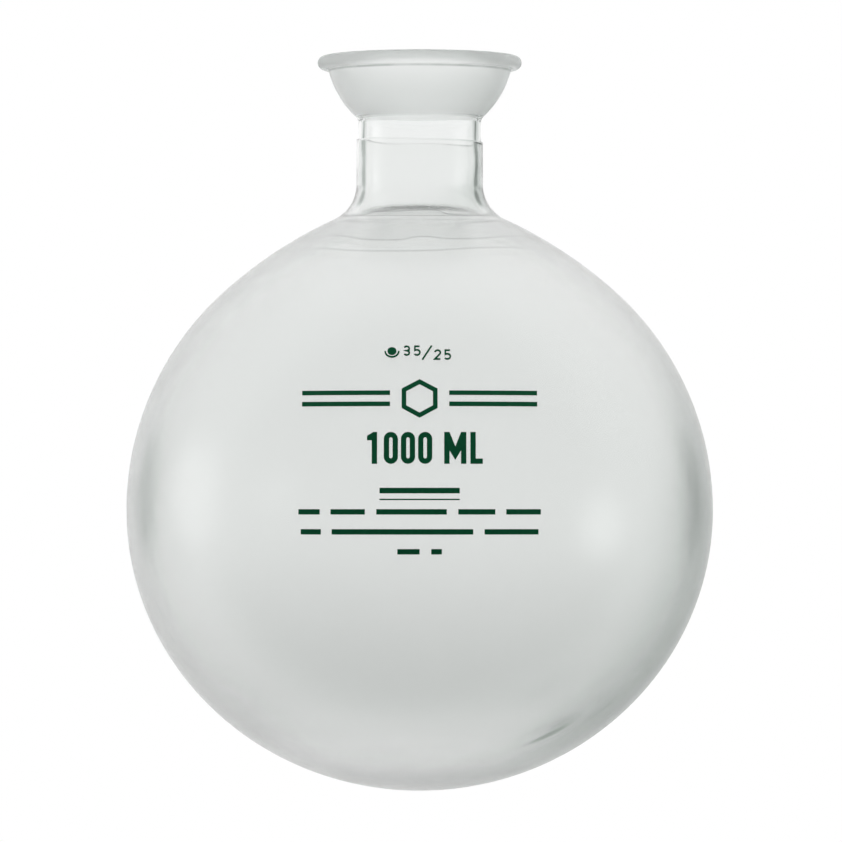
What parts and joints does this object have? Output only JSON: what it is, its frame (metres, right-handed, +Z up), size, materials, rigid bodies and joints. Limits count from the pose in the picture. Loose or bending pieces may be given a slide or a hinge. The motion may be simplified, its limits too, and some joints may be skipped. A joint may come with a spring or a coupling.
{
  "type": "round-bottom receiving flask",
  "caption": "Plastic-coated round-bottom glass receiving flask with a short neck and a ground spherical socket joint that hangs it from a condenser.",
  "frame": {"origin": "centre of the 35 mm ball that seats in the ground socket, on the flask's axis", "axes": "+Z up along the flask's axis and out of the mouth, -Y towards the printed marks"},
  "size_m": [0.1326, 0.1331, 0.1662],
  "materials": {
    "glass": "clear borosilicate, ground inside the socket",
    "coating": "translucent frosted plastisol",
    "ink": "screen-printed dark green"
  },
  "bodies": {
    "root": {"bulb": "glass", "neck_tube": "glass", "socket_cup": "glass", "safety_coating": "coating", "capacity_figure_1": "ink", "capacity_figure_2": "ink", "capacity_figure_3": "ink", "capacity_figure_4": "ink", "capacity_unit_1": "ink", "capacity_unit_2": "ink", "emblem_bar_left_lower": "ink", "emblem_bar_left_upper": "ink", "emblem_bar_right_lower": "ink", "emblem_bar_right_upper": "ink", "emblem_hexagon": "ink", "notice_heading_bar_1": "ink", "notice_row_1_bar_1": "ink", "notice_row_1_bar_2": "ink", "notice_row_1_bar_3": "ink", "notice_row_1_bar_4": "ink", "notice_row_1_bar_5": "ink", "notice_row_2_bar_1": "ink", "notice_row_2_bar_2": "ink", "notice_row_2_bar_3": "ink", "notice_row_3_bar_1": "ink", "notice_row_3_bar_2": "ink", "notice_rule": "ink", "size_figure_1": "ink", "size_figure_2": "ink", "size_figure_3": "ink", "size_figure_4": "ink", "size_mark_ball": "ink", "size_mark_socket": "ink", "size_slash": "ink"}
  },
  "joints": []
}
